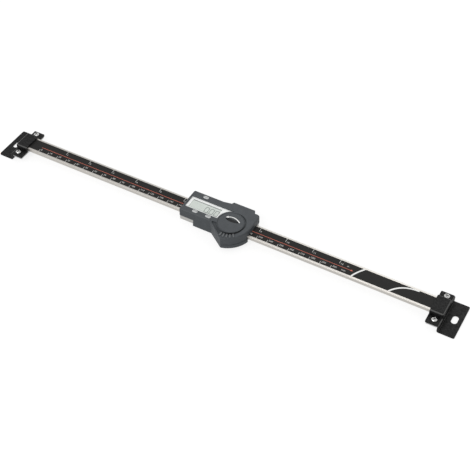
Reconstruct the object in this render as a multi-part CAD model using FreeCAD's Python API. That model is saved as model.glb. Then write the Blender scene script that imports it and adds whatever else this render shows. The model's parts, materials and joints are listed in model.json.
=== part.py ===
import FreeCAD, Part
import math
import os

os.makedirs("parts", exist_ok=True)

# Digital linear scale: a flat steel beam between two end brackets, and a reading head that slides on it.
# Millimetres. X runs along the beam, Y points to its back edge, Z up.
# The origin lies on the mounting plane, midway between the two mounting slots.

# Beam and the strips set in its upper face
beam_length = 422.4
beam_width = 16.0
beam_thickness = 3.5
beam_height = 7.6           # mounting plane to the beam's underside
beam_edge_round = 0.4
label_width = 12.4
label_thickness = 0.25
label_sink = 0.05           # label face below the beam's face
grid_thickness = 0.6
strip_gap = 0.05            # strip edges to the walls of their groove

# End brackets, pressed from sheet
sheet = 1.5
bend_round = 0.3            # inside radius of a bend
flange_width = 8.7          # flange beyond the hat's wall
hat_length = 12.3
hat_side_gap = 0.1          # hat wall to the beam's edge
beam_end_gap = 0.3          # end wall to the beam's end
plate_length = 13.7         # plate beyond the end wall
plate_corner = 1.2
flange_corner = 1.0
slot_width = 5.2
slot_length = 9.5
slot_inset = 6.3            # slot centre from the plate's free edge

# Clamp screws and the tapped bar under each hat
clamp_offset = 4.4          # screw line outside the hat's wall
clamp_inset = 6.3           # screw line from the hat's open end
clamp_core = 1.25           # screw core radius
clamp_hole = 1.7            # clearance hole radius in the flange
clamp_head = 2.45
clamp_head_height = 2.4
clamp_head_edge = 1.4       # straight side of the head below its crown
clamp_head_crown = 1.3      # flat top of the crown, as a radius
clamp_tip = 0.5             # screw end below the bar
bar_thickness = 2.0
bar_land = 1.25             # land on the bar that lifts the beam into the hat
bar_margin = 0.8            # bar edge inside the bracket
screw_gap = 0.05            # screw to the wall of its tapped hole

# Carriage that runs on the beam
head_left = -31.5
head_right = 33.9
carriage_inset = 0.5        # carriage's right end inside the housing's
run_gap = 0.1               # carriage to each face of the beam
gib_thickness = 0.8
gib_left_gap = 2.0          # gib strip inside the carriage's ends
gib_right_gap = 4.6
rail_width = 3.85
shoulder_rise = 2.5         # frame underside to the shoulder that carries the housing
web_thickness = 1.25
seat_gap = 0.2              # frame to the housing's inner walls
base_thickness = 2.0

# Screws in the carriage
screw_inset = 1.25          # screw lines inside the sides of the frame's upper part
small_core = 0.75
small_hole = 0.85
small_head = 1.5
small_head_height = 0.9
counterbore_gap = 0.15
base_screw_pitch = 44.0
base_screw_reach = 2.2      # base plate screw into the frame
housing_screw_reach = 2.6   # housing screw into its boss
gib_screw_radius = 1.0
gib_screw_pitch = 20.0
gib_screw_rise = 1.3        # gib screw line above the frame's underside
gib_screw_sink = 0.5        # gib screw end below the frame's back

# Tapped holes in the base plate for the driven part
tapped_radius = 1.25
tapped_pitch_x = 40.0
tapped_pitch_y = 14.0

# Housing
housing_wall = 1.2
front_overhang = 0.45       # housing front wall beyond the frame
back_overhang = 0.4         # housing back wall beyond the frame
passage_gap = 0.3           # end walls to the beam
corner_round = 1.5
back_right_round = 2.6
top_edge_round = 0.7
wedge_edge_round = 2.6
skirt_left = -17.5
skirt_overhang = 1.75       # skirt front beyond the frame
skirt_drop = 5.45           # skirt below the shoulder
skirt_top_rise = 6.5        # skirt top above the shoulder
tip_x = 16.25               # sharp tip of the thumb wedge
tip_reach = 12.65           # tip beyond the frame's front
wedge_slope = 0.71          # fall of the wedge's straight wall for each unit to the right
wedge_arc = 24.0
lip_height = 3.4            # lip round the wedge's foot
lip_shift = 0.7
flare_start = -2.0
flare_rise = 1.4            # back wall beside the bulge, beyond the back wall at the left
bulge_left = 6.5
bulge_right = 27.4
bulge_reach = 3.6           # bulge beyond the back wall at the left
bulge_slant = 1.1           # run of the bulge's slanting ends
boss_radius = 1.7
boss_bite = 0.4             # left bosses sunk into the end wall
front_boss_offset = 5.7     # front boss from the zero button

# Battery pocket and its turning cover
battery_x = 16.0
battery_y = -6.3
battery_radius = 10.0
battery_thickness = 3.2
battery_bevel = 0.6
pocket_gap = 0.35           # pocket wall to the cell
pocket_wall = 1.05
pocket_floor = 0.6
pocket_lift = 0.05          # pocket floor above the frame
leaf_thickness = 0.2
leaf_width = 4.0
leaf_reach = 2.0            # leaf past the cell's centre and onto the board
side_contact_width = 2.4
contact_clear = 0.55        # side contact's foot to the data connector
cell_touch = 0.05           # side contact to the cell
cover_thickness = 1.6
cover_rest = 1.25           # cover rim beyond the pocket wall
cover_gap = 0.15            # cover rim to its recess
cover_lift = 0.05           # cover above the cell
rim_width = 0.45            # raised ring round the cover
thumb_tilt = 12.0           # degrees, thumb rest falling to the front
thumb_start = 4.2           # high edge of the thumb rest in front of the cover's centre
crescent_depth = 1.0        # finger groove on the ring's right side
crescent_shift = 1.3
crescent_margin = 0.3
rib_count = 5               # grip ribs across the thumb rest
rib_width = 1.1
rib_height = 0.8
rib_length = 3.8
rib_start = 0.8             # ribs outside the ring
rib_inset = 0.4             # rib ends inside the wedge's walls
rib_from = 263.0            # degrees, first and last rib
rib_to = 307.0
groove_depth = 1.4          # groove beside the ring, below the thumb rest
groove_rim = 0.9            # wall left between the groove and the wedge's straight side
groove_floor = 0.9          # plastic left under the groove
groove_back = 5.6           # groove's back and right ends from the cover's centre
groove_right = 3.4
recess_chord = 13.2         # lens-shaped finger recess, between two arcs on one chord
recess_rise = 2.2           # chord behind the cover's centre
recess_front = 1.8          # front arc and back arc from the chord
recess_back = 2.6
recess_floor = 0.7          # level floor behind the chord, before the slope up to the back arc
recess_depth = 1.2
cover_bevel = 0.2
lug_count = 3
lug_angle = 14.0
lug_stem = 0.6
lug_foot = 0.4
lug_height = 1.2
lug_gap = 0.15
lug_overlap = 0.4           # foot under the ledge, in height
cover_turn = 40.0
ledge_depth = 2.1

# Display
window_left_margin = 2.0
window_front = -7.6
window_back = 6.5
window_tip_margin = 0.8     # window arc outside the ring
window_ledge = 0.8
lens_thickness = 0.9
lens_sink = 0.1
lens_gap = 0.1
bezel_flange = 0.2          # bezel's flange under the lens
active_left_margin = 1.6    # bezel borders round the active area
active_front_margin = 0.5
active_back_margin = 1.3
active_right_margin = 0.4
panel_thickness = 1.6
panel_margin = 0.9
board_thickness = 1.0
board_margin = 0.5
zebra_width = 1.5
zebra_end = 3.0
sensor_length = 48.0
sensor_clear = 0.3          # sensor above the label
sensor_gap = 0.2

# Buttons
button_length = 5.2
button_width = 3.0
button_proud = 0.5
button_gap = 0.15
button_ear = 0.7
button_ear_height = 0.8
button_bevel = 0.4
button_travel = 0.4
button_stop_gap = 0.05
dome_height = 0.5
dome_radius = 1.3
dome_crown = 0.7            # flat top of the dome, as a radius
button_inset = 11.6         # units button and power button from the window's left edge
zero_button_inset = 7.6     # zero button from the display's right end
button_back_offset = 3.35   # button line behind the window
button_front_offset = 2.05  # button line in front of the window

# Data port in the bulge
port_x = 17.2
port_width = 9.0
port_height = 3.0
cover_plate_margin = 1.1
cover_plate_thickness = 0.7
cover_plug = 1.9
port_gap = 0.15
connector_depth = 5.0
socket_width = 6.4
socket_height = 1.0
socket_depth = 2.0
nick_radius = 0.9           # finger nick in the port cover

# Levels and lines that follow from the sizes above
beam_half = beam_width / 2
beam_top = beam_height + beam_thickness
label_top = beam_top - label_sink
label_bottom = label_top - label_thickness
grid_bottom = label_bottom - grid_thickness
frame_bottom = beam_height - run_gap
web_under = beam_top + run_gap
web_top = web_under + web_thickness
shoulder = frame_bottom + shoulder_rise
channel_back = beam_half + run_gap + gib_thickness
channel_front = -(beam_half + run_gap)
frame_half = channel_back + rail_width
frame_inset = housing_wall + seat_gap
upper_half = frame_half - frame_inset
carriage_span = (head_left, head_right - carriage_inset)
base_bottom = frame_bottom - base_thickness
small_head_top = base_bottom + small_head_height
floor_bottom = web_top + pocket_lift
floor_top = floor_bottom + pocket_floor
cell_bottom = floor_top + leaf_thickness
cell_top = cell_bottom + battery_thickness
ledge = cell_top + cover_lift
head_top = ledge + cover_thickness
board_top = web_top + board_thickness
panel_top = ledge
panel_bottom = panel_top - panel_thickness
lens_bottom = head_top - lens_sink - lens_thickness
bezel_seat = lens_bottom - bezel_flange
wall_inner = beam_length / 2 + beam_end_gap
wall_outer = wall_inner + sheet
hat_start = wall_outer - hat_length
plate_end = wall_outer + plate_length
slot_x = plate_end - slot_inset
flange_bottom = beam_height - bar_land
flange_top = flange_bottom + sheet
hat_inner = beam_half + hat_side_gap
hat_outer = hat_inner + sheet
bracket_half = hat_outer + flange_width
bar_bottom = flange_bottom - bar_thickness
clamp_places = [(hat_start + clamp_inset, side * (hat_outer + clamp_offset)) for side in (-1, 1)]
head_middle = (head_left + head_right) / 2
housing_front = -(frame_half + front_overhang)
housing_back = frame_half + back_overhang
flare_back = housing_back + flare_rise
bulge_back = housing_back + bulge_reach
connector_back = bulge_back - cover_plate_thickness - cover_plug - port_gap
connector_front = connector_back - connector_depth
skirt_front = -(frame_half + skirt_overhang)
skirt_bottom = shoulder - skirt_drop
tip_y = -(frame_half + tip_reach)
pocket_radius = battery_radius + pocket_gap
cover_radius = pocket_radius + cover_rest
recess_radius = cover_radius + cover_gap
ring_radius = recess_radius + rim_width
window_arc = ring_radius + window_tip_margin
window_left = head_left + window_left_margin
panel_left = head_left + housing_wall + panel_margin
panel_right = battery_x - ring_radius - panel_margin
zero_button_x = panel_right - zero_button_inset
button_places = {
    "units": (window_left + button_inset, window_back + button_back_offset),
    "power": (window_left + button_inset, window_front - button_front_offset),
    "zero": (zero_button_x, window_front - button_front_offset),
}
arc_x = head_right - wedge_arc
arc_y = tip_y + math.sqrt(wedge_arc ** 2 - (tip_x - arc_x) ** 2)
spare = 1.0                 # how far a cutting solid runs past what it cuts

Vector = FreeCAD.Vector


def box(x, y, z):
    """Block between a low and a high value on each axis."""
    size = [high - low for low, high in (x, y, z)]
    return Part.makeBox(*size, Vector(x[0], y[0], z[0]))


def prism(wire, z_low, z_high):
    """Upright solid on a closed plan outline."""
    face = Part.Face(wire)
    face.translate(Vector(0, 0, z_low))
    return face.extrude(Vector(0, 0, z_high - z_low))


def drum(place, radius, z_low, z_high):
    """Upright cylinder on a plan point."""
    return Part.makeCylinder(radius, z_high - z_low, Vector(place[0], place[1], z_low))


def outline(start, steps):
    """Closed plan outline: a step is a point for a line, or a pair of points for an arc."""
    edges = []
    here = Vector(*start, 0)
    for step in steps:
        if isinstance(step[0], tuple):
            through, there = (Vector(*point, 0) for point in step)
            edges.append(Part.Arc(here, through, there).toShape())
        else:
            there = Vector(*step, 0)
            edges.append(Part.LineSegment(here, there).toShape())
        here = there
    return Part.Wire(edges)


def polar(centre, radius, degrees):
    """Plan point at an angle about a centre."""
    turn = math.radians(degrees)
    return (centre[0] + radius * math.cos(turn), centre[1] + radius * math.sin(turn))


def stadium(centre, length, width, along_y=False):
    """Plan outline with two straight sides and two half-round ends."""
    straight = (length - width) / 2
    radius = width / 2
    points = [(-straight, -radius), (straight, -radius), (straight + radius, 0), (straight, radius),
              (-straight, radius), (-straight - radius, 0)]
    if along_y:
        points = [(-v, u) for u, v in points]
    a, b, c, d, e, f = [(centre[0] + u, centre[1] + v) for u, v in points]
    return outline(a, [b, (c, d), e, (f, a)])


def lengthways(points, x_low, x_high):
    """Solid with a YZ profile that runs along X."""
    corners = [Vector(x_low, y, z) for y, z in points]
    return Part.Face(Part.makePolygon(corners + corners[:1])).extrude(Vector(x_high - x_low, 0, 0))


def crossways(points, half):
    """Solid with an XZ profile that runs across Y, as far to each side of the centre line."""
    corners = [Vector(x, -half, z) for x, z in points]
    return Part.Face(Part.makePolygon(corners + corners[:1])).extrude(Vector(0, 2 * half, 0))


def turned(place, profile):
    """Solid of revolution about a vertical line through a plan point; the profile is radius, height."""
    corners = [Vector(place[0] + r, place[1], z) for r, z in profile]
    face = Part.Face(Part.makePolygon(corners + corners[:1]))
    return face.revolve(Vector(place[0], place[1], 0), Vector(0, 0, 1), 360)


def sector(centre, inner, outer, angle_from, angle_to, z_low, z_high):
    """Part of a ring between two angles."""
    middle = (angle_from + angle_to) / 2
    ring = outline(polar(centre, inner, angle_from), [
        polar(centre, outer, angle_from),
        (polar(centre, outer, middle), polar(centre, outer, angle_to)),
        polar(centre, inner, angle_to),
        (polar(centre, inner, middle), polar(centre, inner, angle_from))])
    return prism(ring, z_low, z_high)


def rounded(shape, radius, chosen):
    """Round the edges whose middle point passes a test."""
    edges = [edge for edge in shape.Edges if chosen(edge.CenterOfMass, edge)]
    return shape.makeFillet(radius, edges)


def bevelled(shape, width, chosen):
    """Cut a narrow slope along the edges whose middle point passes a test."""
    edges = [edge for edge in shape.Edges if chosen(edge.CenterOfMass, edge)]
    return shape.makeChamfer(width, edges)


def near(a, b):
    return abs(a - b) < 0.01


def upright(edge):
    box_of = edge.BoundBox
    return box_of.XLength < 0.01 and box_of.YLength < 0.01


def joined(first, *others):
    return first.fuse(list(others)).removeSplitter()


def mirrored(shape):
    """The same piece at the beam's other end."""
    return shape.mirror(Vector(0, 0, 0), Vector(1, 0, 0))


# Beam, grid strip and label
def beam():
    bar = box((-beam_length / 2, beam_length / 2), (-beam_half, beam_half), (beam_height, beam_top))
    bar = rounded(bar, beam_edge_round, lambda c, e: near(abs(c.y), beam_half) and not upright(e)
                  and near(c.x, 0))
    groove_half = label_width / 2 + strip_gap
    groove = box((-beam_length / 2 - spare, beam_length / 2 + spare), (-groove_half, groove_half),
                 (grid_bottom, beam_top + spare))
    return bar.cut(groove)


def strip(bottom, thickness):
    return box((-beam_length / 2, beam_length / 2), (-label_width / 2, label_width / 2),
               (bottom, bottom + thickness))


# End bracket: hat over the beam, two flanges, a closed end wall and the stepped-down slotted plate
def bracket_step(x_start, x_wall, x_end, flange_level, plate_level, high_bend, low_bend, half):
    """Everything under a step that falls from the flange level to the plate level at a wall."""
    floor = -sheet
    block = crossways([(x_start, floor), (x_start, flange_level), (x_wall, flange_level),
                       (x_wall, plate_level), (x_end, plate_level), (x_end, floor)], half)
    block = rounded(block, high_bend, lambda c, e: near(c.x, x_wall) and near(c.z, flange_level))
    return rounded(block, low_bend, lambda c, e: near(c.x, x_wall) and near(c.z, plate_level))


def bracket_hat(x_start, x_wall, half, top, bend):
    """Block under the hat, with the edges of its top and of its closed end bent round."""
    block = box((x_start, x_wall), (-half, half), (0, top))
    block = rounded(block, bend, lambda c, e: near(c.x, x_wall) and upright(e))
    return rounded(block, bend, lambda c, e: near(c.z, top) and not near(c.x, x_start))


def end_bracket():
    outer_bend = bend_round + sheet
    step = bracket_step(hat_start, wall_outer, plate_end, flange_top, sheet, outer_bend, bend_round,
                        bracket_half)
    hat = bracket_hat(hat_start, wall_outer, hat_outer, beam_top + sheet, outer_bend)
    under_step = bracket_step(hat_start - spare, wall_inner, plate_end + spare, flange_bottom, 0, bend_round,
                              outer_bend, bracket_half + spare)
    under_hat = bracket_hat(hat_start - spare, wall_inner, hat_inner, beam_top, bend_round)
    piece = joined(step, hat).cut([under_step, under_hat])
    for end, radius in ((hat_start, flange_corner), (plate_end, plate_corner)):
        piece = rounded(piece, radius, lambda c, e: near(c.x, end) and near(abs(c.y), bracket_half)
                        and upright(e))
    slot = prism(stadium((slot_x, 0), slot_length, slot_width, along_y=True), -spare, sheet + spare)
    holes = [drum(place, clamp_hole, flange_bottom - spare, flange_top + spare) for place in clamp_places]
    return piece.cut([slot] + holes)


def clamp_bar():
    """Tapped bar under the flanges, with a land in its middle that the beam rests on."""
    span = (hat_start + bar_margin, wall_inner - bar_margin)
    half = bracket_half - bar_margin
    land_half = beam_half - bar_margin
    bar = box(span, (-half, half), (bar_bottom, flange_bottom))
    bar = joined(bar, box(span, (-land_half, land_half), (bar_bottom, beam_height)))
    return bar.cut([drum(place, clamp_core + screw_gap, bar_bottom - spare, beam_height + spare)
                    for place in clamp_places])


def pan_screw(place, seat, tip):
    """Screw with a crowned head that sits on a seat and a core that ends at its tip."""
    top = seat + clamp_head_height
    return turned(place, [(0, tip), (clamp_core, tip), (clamp_core, seat), (clamp_head, seat),
                          (clamp_head, seat + clamp_head_edge), (clamp_head_crown, top), (0, top)])


def clamp_screws():
    tip = bar_bottom - clamp_tip
    return Part.makeCompound([pan_screw(place, flange_top, tip) for place in clamp_places])


# Places of the screws in the carriage
screw_row = upper_half - screw_inset
boss_left = head_left + housing_wall + boss_radius - boss_bite
boss_right = head_right - housing_wall - back_right_round
housing_screw_places = [(boss_left, -screw_row), (boss_left, screw_row), (boss_right, screw_row),
                        (zero_button_x + front_boss_offset, -screw_row)]
base_screw_places = [(head_middle + end * base_screw_pitch / 2, side * screw_row)
                     for end in (-1, 1) for side in (-1, 1)]
gib_screw_places = [head_middle + end * gib_screw_pitch / 2 for end in (-1, 1)]
tapped_places = [(head_middle + end * tapped_pitch_x / 2, side * tapped_pitch_y / 2)
                 for end in (-1, 1) for side in (-1, 1)]


# Head outline: straight front, wedge tip, round right side, bulged back
def wedge_start(front):
    """Where the wedge's straight wall leaves a front line."""
    return tip_x + (tip_y - front) / wedge_slope


def head_outline():
    wall_turn = math.degrees(math.atan2(tip_y - arc_y, tip_x - arc_x)) / 2
    corner = (head_right - back_right_round, flare_back - back_right_round)
    left_corner = (head_left + corner_round, housing_back - corner_round)
    return outline((head_left, housing_front), [
        (wedge_start(housing_front), housing_front),
        (tip_x, tip_y),
        (polar((arc_x, arc_y), wedge_arc, wall_turn), (head_right, arc_y)),
        (head_right, corner[1]),
        (polar(corner, back_right_round, 45), (corner[0], flare_back)),
        (bulge_right + bulge_slant, flare_back),
        (bulge_right, bulge_back),
        (bulge_left, bulge_back),
        (bulge_left - bulge_slant, flare_back),
        (flare_start, housing_back),
        (left_corner[0], housing_back),
        (polar(left_corner, corner_round, 135), (head_left, left_corner[1])),
        (head_left, housing_front)])


def head_prism(inset, z_low, z_high):
    """Upright solid on the head outline, moved inwards."""
    wire = head_outline()
    if inset:
        wire = wire.makeOffset2D(-inset, 2)
    return prism(wire, z_low, z_high)


def trimmed(shape):
    """Cut a carriage piece back where the wedge's foot leaves it no room."""
    levels = (base_bottom - spare, web_top + spare)
    foot_back = -(beam_half + passage_gap)
    quarter = box((tip_x, head_right + spare), (-frame_half - spare, foot_back + seat_gap), levels)
    return shape.cut(quarter.cut(head_prism(frame_inset, *levels)))


# Carriage
def slider_frame():
    lower = trimmed(box(carriage_span, (-frame_half, frame_half), (frame_bottom, shoulder)))
    upper = head_prism(frame_inset, frame_bottom, web_top).common(
        box((head_left, head_right), (-upper_half, upper_half), (frame_bottom, web_top)))
    frame = joined(lower, upper)
    channel = box((head_left - spare, head_right + spare), (channel_front, channel_back),
                  (base_bottom, web_under))
    window_half = label_width / 2 + sensor_gap
    sensor_reach = sensor_length / 2 + sensor_gap
    window = box((head_middle - sensor_reach, head_middle + sensor_reach), (-window_half, window_half),
                 (web_under - spare, web_top + spare))
    low = frame_bottom - spare
    screw_end = frame_bottom + base_screw_reach + screw_gap
    holes = [drum(place, small_hole, low, web_top + spare) for place in housing_screw_places]
    holes += [drum(place, small_core + screw_gap, low, screw_end) for place in base_screw_places]
    holes += [gib_screw(x, gib_screw_radius + screw_gap, rail_width + spare) for x in gib_screw_places]
    return frame.cut([channel, window] + holes)


def base_plate():
    plate = trimmed(box(carriage_span, (-frame_half, frame_half), (base_bottom, frame_bottom)))
    low = base_bottom - spare
    high = frame_bottom + spare
    cuts = [drum(place, tapped_radius, low, high) for place in tapped_places]
    for place in housing_screw_places + base_screw_places:
        cuts.append(drum(place, small_hole, low, high))
        cuts.append(drum(place, small_head + counterbore_gap, low, small_head_top))
    return plate.cut(cuts)


def small_screw(place, tip):
    """Flat-headed screw sunk in the base plate's underside."""
    head = drum(place, small_head, base_bottom, small_head_top)
    return joined(head, drum(place, small_core, small_head_top, tip))


def base_plate_screws():
    tip = frame_bottom + base_screw_reach
    return Part.makeCompound([small_screw(place, tip) for place in base_screw_places])


def housing_screws():
    tip = web_top + housing_screw_reach
    return Part.makeCompound([small_screw(place, tip) for place in housing_screw_places])


def gib_strip():
    return box((head_left + gib_left_gap, head_right - gib_right_gap),
               (channel_back - gib_thickness, channel_back), (beam_height, beam_top))


def gib_screw(x, radius, length):
    """Cylinder that runs backwards from the gib strip's face."""
    return Part.makeCylinder(radius, length, Vector(x, channel_back, frame_bottom + gib_screw_rise),
                             Vector(0, 1, 0))


def gib_screws():
    return Part.makeCompound([gib_screw(x, gib_screw_radius, rail_width - gib_screw_sink)
                              for x in gib_screw_places])


# Housing
def battery_place():
    return (battery_x, battery_y)


def window_outline(inset):
    """Display window: a rectangle whose right side follows the ring round the battery cover."""
    centre = battery_place()
    radius = window_arc + inset
    left = window_left + inset
    front = window_front + inset
    back = window_back - inset
    front_x = battery_x - math.sqrt(radius ** 2 - (front - battery_y) ** 2)
    back_x = battery_x - math.sqrt(radius ** 2 - (back - battery_y) ** 2)
    front_turn = math.degrees(math.atan2(front - battery_y, front_x - battery_x)) % 360
    back_turn = math.degrees(math.atan2(back - battery_y, back_x - battery_x)) % 360
    between = polar(centre, radius, (front_turn + back_turn) / 2)
    return outline((left, front), [(front_x, front), (between, (back_x, back)), (left, back), (left, front)])


def skirt():
    """Drawn-out front wall that hides the carriage, from the skirt's left edge to the wedge."""
    inner = -(frame_half + seat_gap)
    top = shoulder + skirt_top_rise
    profile = [(inner, skirt_bottom), (skirt_front, skirt_bottom), (housing_front, top), (inner, top)]
    return lengthways(profile, skirt_left, wedge_start(skirt_front) + housing_wall)


def wedge_foot():
    """The wedge's lower part, as far as the beam's front edge, with a lip that grows to the right."""
    levels = (skirt_bottom, shoulder)
    depth = (tip_y - spare, -(beam_half + passage_gap))
    before_frame = (tip_y - spare, -(frame_half + seat_gap))
    front = joined(box((wedge_start(housing_front), head_right), before_frame, levels),
                   box((wedge_start(skirt_front), head_right), depth, levels))
    lip = head_prism(0, skirt_bottom, skirt_bottom + lip_height)
    lip.translate(Vector(lip_shift, 0, 0))
    right = box((tip_x, head_right + lip_shift), depth, levels)
    return joined(head_prism(0, *levels).common(front), lip.common(right))


def lug_turns():
    """Angles of the cover's lugs at rest, in the locked place."""
    return [90 + 360 * number / lug_count for number in range(lug_count)]


def bayonet_cuts():
    """In each place an entry notch through the ledge and an undercut that runs back from it."""
    centre = battery_place()
    gap_turn = math.degrees(lug_gap / pocket_radius)
    foot_out = pocket_radius + lug_stem + lug_foot + 2 * lug_gap
    stem_out = pocket_radius + lug_stem + 2 * lug_gap
    low = ledge - lug_height - lug_gap
    step = ledge - lug_overlap
    inner = pocket_radius - spare
    cuts = []
    for turn in lug_turns():
        first = turn - lug_angle / 2 - gap_turn
        last = turn + lug_angle / 2 + gap_turn + cover_turn
        cuts.append(sector(centre, inner, foot_out, first, last, low, step))
        cuts.append(sector(centre, inner, stem_out, first, last, low, ledge + spare))
        cuts.append(sector(centre, inner, foot_out, first + cover_turn, last, low, ledge + spare))
    return cuts


def battery_pocket():
    """Cup for the cell, with a thicker ledge at its top that the cover sits on."""
    centre = battery_place()
    cup = drum(centre, pocket_radius + pocket_wall, floor_bottom, ledge)
    return joined(cup, drum(centre, ring_radius, ledge - ledge_depth, head_top))


def on_thumb_rest(shape, drop):
    """Tilt a shape made on the ground plane about the cover's centre onto the sloping thumb rest."""
    fall = math.tan(math.radians(thumb_tilt))
    shape.rotate(Vector(0, 0, 0), Vector(1, 0, 0), thumb_tilt)
    shape.translate(Vector(battery_x, battery_y, head_top + fall * thumb_start - drop))
    return shape


def thumb_rest(drop):
    """Everything above the sloping thumb rest, or above a plane below it by a wall's thickness."""
    reach = head_right - head_left
    above = on_thumb_rest(box((-reach, reach), (-reach, reach), (0, reach)), drop)
    span = (wedge_start(housing_front), head_right + spare)
    return above.common(box(span, (tip_y - spare, battery_y), (0, reach)))


def ring_groove(extra):
    """Room between the ring and the wedge's straight side, sunk below the thumb rest, or a larger one."""
    room = box((wedge_start(skirt_front) - extra, battery_x - groove_right + extra),
               (tip_y, battery_y - groove_back + extra), (shoulder, head_top))
    return thumb_rest(groove_depth + extra).common(room)


def crescent():
    """Finger groove whose round side is set off to the right of the ring."""
    place = (battery_x + crescent_shift, battery_y)
    return drum(place, ring_radius + crescent_margin, head_top - crescent_depth, head_top + spare)


def grip_ribs():
    """Radial ribs that stand on the thumb rest, ended inside the wedge's walls."""
    inner = ring_radius + rib_start
    bar = box((inner, inner + rib_length), (-rib_width / 2, rib_width / 2), (-rib_height, rib_height))
    pitch = (rib_to - rib_from) / (rib_count - 1)
    ribs = []
    for number in range(rib_count):
        rib = bar.copy()
        rib.rotate(Vector(0, 0, 0), Vector(0, 0, 1), rib_from + pitch * number)
        ribs.append(on_thumb_rest(rib, 0).common(head_prism(rib_inset, shoulder, head_top)))
    return ribs


def port_opening(depth_from, depth_to, margin):
    """Room for the data port or its cover, in the back wall of the bulge."""
    low = web_top - margin
    return box((port_x - port_width / 2 - margin, port_x + port_width / 2 + margin), (depth_from, depth_to),
               (low, low + port_height + 2 * margin))


def contact_slots():
    """Ways through the pocket wall for the two battery contacts."""
    half = leaf_width / 2 + lug_gap
    high = board_top + 3 * leaf_thickness
    reach = pocket_radius + pocket_wall + spare
    left = box((battery_x - reach, battery_x - pocket_radius + spare), (battery_y - half, battery_y + half),
               (floor_top, high))
    back = box((battery_x - half, battery_x + half), (battery_y + pocket_radius - spare, battery_y + reach),
               (floor_top, high))
    return [left, back]


def housing():
    shell = head_prism(0, shoulder, head_top)
    shell = rounded(shell, wedge_edge_round, lambda c, e: near(c.z, head_top) and c.x > tip_x
                    and c.y < housing_back - back_right_round)
    shell = rounded(shell, top_edge_round, lambda c, e: near(c.z, head_top) and c.x < bulge_right
                    and (c.y > housing_front + spare or near(c.y, housing_front)))
    shell = shell.cut([thumb_rest(0), crescent()])
    groove = ring_groove(0).common(head_prism(groove_rim, shoulder, head_top))
    hollow = head_prism(housing_wall, skirt_bottom - spare, ledge).cut(
        [thumb_rest(cover_thickness), ring_groove(groove_floor)])
    shell = joined(shell, skirt(), wedge_foot(), *grip_ribs()).cut([groove, hollow])
    floor_levels = (shoulder, shoulder + housing_wall)
    bulge_floor = head_prism(housing_wall / 2, *floor_levels).common(
        box((flare_start, head_right), (upper_half + seat_gap, bulge_back), floor_levels))
    bosses = [drum(place, boss_radius, web_top, ledge).common(head_prism(housing_wall / 2, web_top, ledge))
              for place in housing_screw_places]
    shell = joined(shell, battery_pocket(), bulge_floor, *bosses)
    centre = battery_place()
    passage_half = beam_half + passage_gap
    cuts = [
        drum(centre, recess_radius, ledge, head_top + spare),
        drum(centre, pocket_radius, floor_top, head_top + spare),
        prism(window_outline(0), bezel_seat, head_top + spare),
        prism(window_outline(window_ledge), ledge - spare, head_top + spare),
        box((head_left - spare, head_right + spare), (-passage_half, passage_half),
            (skirt_bottom, beam_top + passage_gap)),
        port_opening(housing_back - spare, bulge_back + spare, 0),
        port_opening(bulge_back - cover_plate_thickness, bulge_back + spare, cover_plate_margin),
    ]
    cuts += [prism(stadium(place, button_length + 2 * button_gap, button_width + 2 * button_gap),
                   ledge - spare, head_top + spare)
             for place in button_places.values()]
    cuts += [drum(place, small_core + screw_gap, web_top - spare, web_top + housing_screw_reach + screw_gap)
             for place in housing_screw_places]
    return shell.cut(cuts + bayonet_cuts() + contact_slots())


# Electronics and display
def sensor_board():
    half = sensor_length / 2
    return box((head_middle - half, head_middle + half), (-label_width / 2, label_width / 2),
               (label_top + sensor_clear, web_top))


def circuit_board():
    """Board on the carriage's top, cut round the battery pocket and the screw bosses."""
    board = box((head_left + housing_wall + board_margin, boss_right - boss_radius - board_margin),
                (-upper_half, upper_half), (web_top, board_top))
    pocket = pocket_radius + pocket_wall + board_margin
    levels = (web_top - spare, board_top + spare)
    cuts = [drum(battery_place(), pocket, *levels),
            box((battery_x - pocket / 2, head_right), (-frame_half, battery_y + pocket / 2), levels)]
    cuts += [drum(place, boss_radius + seat_gap, *levels) for place in housing_screw_places]
    return board.cut(cuts)


def lcd_panel():
    return box((panel_left, panel_right), (window_front, window_back), (panel_bottom, panel_top))


def zebra_strips():
    length = (panel_left + zebra_end, panel_right - zebra_end)
    return Part.makeCompound([
        box(length, (window_front, window_front + zebra_width), (board_top, panel_bottom)),
        box(length, (window_back - zebra_width, window_back), (board_top, panel_bottom))])


def lcd_bezel():
    """Pale frame with a flange under the lens, open over the display's active area."""
    inset = window_ledge + lens_gap
    frame = joined(prism(window_outline(inset), panel_top, lens_bottom),
                   prism(window_outline(lens_gap), bezel_seat, lens_bottom))
    active_right = battery_x - window_arc - inset - active_right_margin
    active = box((window_left + inset + active_left_margin, active_right),
                 (window_front + inset + active_front_margin, window_back - inset - active_back_margin),
                 (panel_top - spare, head_top))
    return frame.cut(active)


def lcd_lens():
    return prism(window_outline(lens_gap), lens_bottom, head_top - lens_sink)


def key_domes():
    top = board_top + dome_height
    profile = [(0, board_top), (dome_radius, board_top), (dome_crown, top), (0, top)]
    return Part.makeCompound([turned(place, profile) for place in button_places.values()])


def button(place):
    """Oval key through the top wall, held by an ear at each end and resting over its dome."""
    bottom = board_top + dome_height + button_stop_gap + button_travel
    top = head_top + button_proud
    key = prism(stadium(place, button_length, button_width), bottom, top)
    key = bevelled(key, button_bevel, lambda c, e: near(c.z, top))
    reach = button_length / 2 + button_ear
    ear_half = button_width / 2 - button_bevel
    ears = box((place[0] - reach, place[0] + reach), (place[1] - ear_half, place[1] + ear_half),
               (ledge - button_ear_height, ledge))
    return joined(key, ears)


# Battery, its contacts and its cover
def battery():
    """Coin cell: a narrower cap below and the can above it."""
    edge = battery_bevel / 2
    return turned(battery_place(), [
        (0, cell_bottom), (battery_radius - 2 * battery_bevel, cell_bottom),
        (battery_radius, cell_bottom + battery_bevel), (battery_radius, cell_top - edge),
        (battery_radius - edge, cell_top), (0, cell_top)])


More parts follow.
